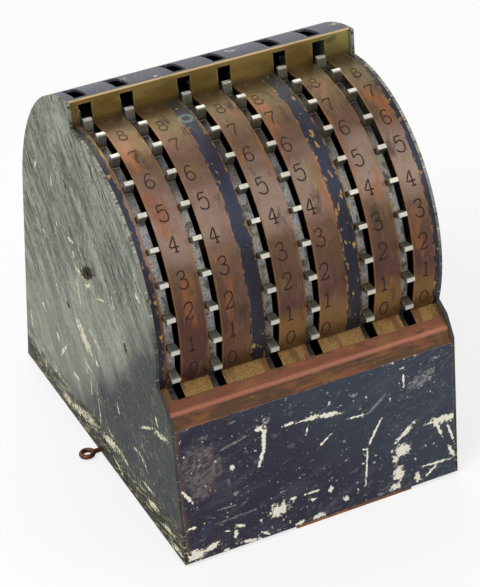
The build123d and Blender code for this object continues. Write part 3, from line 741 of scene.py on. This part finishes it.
# Painted reflection: the glossy enamel is lighter over the top, behind the strip.
# The angle jumps from 180 to -180 half-way down the back, so the height bounds the top as well.
over_top_reflection = between(angle, 118.0, 100.0) * between(z, 110.0, 130.0)
colour = mix(over_top_reflection * 0.6, colour, tint(74, 76, 86))
scuff = between(grain(flat, (12.0, 3.0, 5.0), turn=12, shift=15.0, detail=6.0), 0.58, 0.68)
colour = mix(scuff * 0.5, colour, tint(116, 120, 126))
scratch = (between(grain(flat, (9.0, 0.4, 4.0), turn=-28, shift=25.0), 0.69, 0.73)
           | between(grain(flat, (8.0, 0.4, 4.0), turn=64, shift=35.0), 0.69, 0.73))
colour = mix(scratch * 0.8, colour, tint(176, 172, 152))
primer = between(grain(flat, 5.5, shift=48.0, detail=6.0), 0.68, 0.71)
colour = mix(primer * 0.9, colour, tint(214, 208, 186))
edge = worn_edge(place, 0.5) * between(grain(place, 2.4, shift=3.0), 0.38, 0.54)
colour = mix(edge * 0.8, colour, tint(132, 112, 84))
texture = grain(flat, 1.4, detail=4.0) * 0.3 + primer * -0.8 + cloud * 2.0
set_finish(cover_paint, Base_Color=colour, Normal=relief(texture, 0.12),
           Roughness=0.44 + scuff * 0.2 + primer * 0.3, Specular_IOR_Level=0.25)
nodes["rear_cover"].material_slots[0].material = cover_paint


# ---------------------------------------------------------------------------------------------
# Base plate: a flat sheet of copper-coloured metal under the case. Its tongue sticks out at the
# front, orange where it is rubbed and rusty brown at the right.

base_metal, place = new_finish("base_copper")
x, _, z = split(place)
orange = between(grain(place, (14.0, 9.0, 9.0), shift=2.0, detail=4.0), 0.4, 0.64)
colour = mix(orange, tint(122, 76, 44), tint(162, 102, 56))
rusty = between(x + (grain(place, 8.0, shift=7.0) - 0.5) * 20.0, 26.0, 40.0)
colour = mix(rusty * 0.7, colour, tint(92, 52, 36))
stain = between(grain(place, 5.0, shift=19.0, detail=5.0), 0.57, 0.68)
colour = mix(stain * 0.7, colour, tint(70, 48, 36))
under = between(z, 0.4, 0.1)
dragged = between(grain(place, (1.0, 22.0, 5.0), shift=26.0, detail=3.0), 0.6, 0.68) * under
colour = mix(dragged * 0.5, colour, tint(190, 140, 96))
colour = mix(worn_edge(place, 0.4) * 0.5, colour, tint(196, 138, 90))
texture = grain(place, 1.2, detail=4.0) * 0.6 + grain(place, 12.0) * 1.5
set_finish(base_metal, Base_Color=colour, Normal=relief(texture, 0.1, 0.3),
           Roughness=0.46 + stain * 0.2, Metallic=0.75 - stain * 0.3)
nodes["base_plate"].material_slots[0].material = base_metal


# ---------------------------------------------------------------------------------------------
# Pull ring: thick brass wire bent round to an eye, at the foot of the left side, gone brown, with a
# painted highlight on its top.

ring_metal, place = new_finish("brown_wire")
_, _, z = split(place)
worn = between(grain(place, 2.6, detail=4.0), 0.4, 0.62)
colour = mix(worn, tint(52, 32, 20), tint(88, 56, 34))
dark = between(grain(place, 1.1, shift=9.0, detail=4.0), 0.56, 0.68)
colour = mix(dark * 0.6, colour, tint(52, 32, 22))
# Painted highlight on the top of the ring.
crown_highlight = between(z, 2.0, 2.5)
colour = mix(crown_highlight * 0.5, colour, tint(128, 88, 56))
set_finish(ring_metal, Base_Color=colour, Roughness=0.42 + dark * 0.2, Metallic=0.7 - dark * 0.3,
           Normal=relief(grain(place, 0.8, detail=4.0), 0.12, 0.4))
nodes["pull_ring"].material_slots[0].material = ring_metal


# ---------------------------------------------------------------------------------------------
# Finger wheels: cast and turned steel, grainy grey, with thirty pegs. The ends of the pegs are
# smoother and carry a painted highlight; the peg stems, the wheel's sides and its upper flats carry
# painted shade; and old oil and brass dust sit in the corners between them.

rim_below_face, peg_height = 2.2, 5.6
rim_radius = face_radius - rim_below_face
tip_radius = rim_radius + peg_height


def wheel_steel(name, seed, tarnish):
    """The steel of one wheel; tarnish is how far it has gone olive and darker, and it also sets how
    deep the painted shade on its upper flats and peg stems is.
    """
    made, place = new_finish(name)
    _, y, z = split(place)
    angle = angle_at(y, z)
    distance = square_length(y - axis_y, z - axis_z) ** 0.5
    gritty = grain(place, 0.55, shift=seed, detail=4.0)
    dark, light = 118 - 34 * tarnish, 168 - 40 * tarnish
    colour = mix(between(gritty, 0.36, 0.64), tint(dark, dark, dark), tint(light, light, light))
    patch = between(grain(place, 5.0, shift=seed + 9.0, detail=4.0), 0.5, 0.66)
    colour = mix(patch * 0.45, colour, tint(86, 82, 76))
    dull = between(grain(place, 7.0, shift=seed + 17.0, detail=3.0), 0.48, 0.64)
    colour = mix(dull * tarnish, colour, tint(132, 124, 78))
    corner = between(distance, rim_radius + 1.6, rim_radius - 0.2)
    colour = mix(corner * patch * 0.7, colour, tint(56, 48, 40))
    frayed = (grain(place, 6.0, shift=seed + 23.0) - 0.5) * 22.0
    near_rim = between(distance, rim_radius + 1.8, rim_radius + 0.6)
    # Painted shade on the flats near the rim in the upper part of the wheel, as it stands at rest.
    upper_flat_shade = between(angle + frayed, 42.0, 60.0) * near_rim
    colour = mix(upper_flat_shade * (0.45 + tarnish), colour, tint(50, 43, 38))
    # Painted shade on the sides of the pegs.
    below_tip = between(distance, tip_radius - 0.6, tip_radius - 1.1)
    stem_shade = between(distance, rim_radius, rim_radius + 0.6) * below_tip
    colour = mix(stem_shade * (tarnish + 0.3), colour, tint(92, 87, 62))
    # Painted highlight on the ends of the pegs, which are also a little smoother.
    tip_highlight = between(distance, tip_radius - 1.0, tip_radius - 0.5)
    colour = mix(tip_highlight * 0.8, colour, tint(206, 203, 188))
    # Painted shade on the wheel's sides, below the rim.
    side_shade = between(distance, rim_radius - 0.3, rim_radius - 1.2)
    colour = mix(side_shade * 0.7, colour, tint(52, 49, 46))
    colour = mix(worn_edge(place, 0.35) * 0.5, colour, tint(214, 212, 204))
    set_finish(made, Base_Color=colour, Normal=relief(gritty + patch * -0.4, 0.12, 0.3),
               Roughness=0.42 + patch * 0.18 - tip_highlight * 0.1, Metallic=0.75 - patch * 0.25)
    return made


for number, olive in enumerate((0.25, 0.3, 0.45, 0.45, 0.5, 0.5), 1):
    nodes[f"finger_wheel_{number}"].material_slots[0].material = wheel_steel(
        f"wheel_steel_{number}", 13.0 * number, olive)


# ---------------------------------------------------------------------------------------------
# Shafts, flanges and click pawls: plain machine steel with a film of old oil, turned or sawn.

oiled_steel, place = new_finish("oiled_steel")
turned = grain(place, (0.35, 9.0, 9.0), shift=4.0)
colour = mix(between(turned, 0.4, 0.62), tint(120, 119, 116), tint(162, 161, 156))
film = between(grain(place, 6.0, shift=8.0, detail=5.0), 0.5, 0.66)
colour = mix(film * 0.6, colour, tint(78, 66, 48))
colour = mix(worn_edge(place, 0.35) * 0.5, colour, tint(196, 194, 186))
set_finish(oiled_steel, Base_Color=colour, Roughness=0.36 + film * 0.2, Metallic=0.9 - film * 0.3,
           Normal=relief(turned, 0.05, 0.3))
for name in ("main_shaft", "left_shaft_flange", "right_shaft_flange", "carry_shaft", "click_shaft",
             *(f"click_pawl_{number}" for number in range(1, 7))):
    nodes[name].material_slots[0].material = oiled_steel


# ---------------------------------------------------------------------------------------------
# Spacer tubes, carry pinions and shaft sockets: plain cast and sawn brass, never handled, so
# yellow with a thin brown film.

inner_brass, place = new_finish("unhandled_brass")
sawn = grain(place, (0.5, 6.0, 6.0), shift=2.0)
colour = mix(between(sawn, 0.4, 0.62), tint(150, 118, 56), tint(186, 152, 84))
film = between(grain(place, 5.0, shift=6.0, detail=5.0), 0.5, 0.68)
colour = mix(film * 0.6, colour, tint(96, 72, 42))
colour = mix(worn_edge(place, 0.35) * 0.5, colour, tint(214, 184, 118))
set_finish(inner_brass, Base_Color=colour, Roughness=0.38 + film * 0.2, Metallic=0.9 - film * 0.3,
           Normal=relief(sawn, 0.05, 0.3))
for name in ("end_spacers", "carry_shaft_sockets", "click_shaft_sockets",
             *(f"wheel_spacer_{number}" for number in range(1, 6)),
             *(f"carry_pinion_{number}" for number in range(1, 6))):
    nodes[name].material_slots[0].material = inner_brass
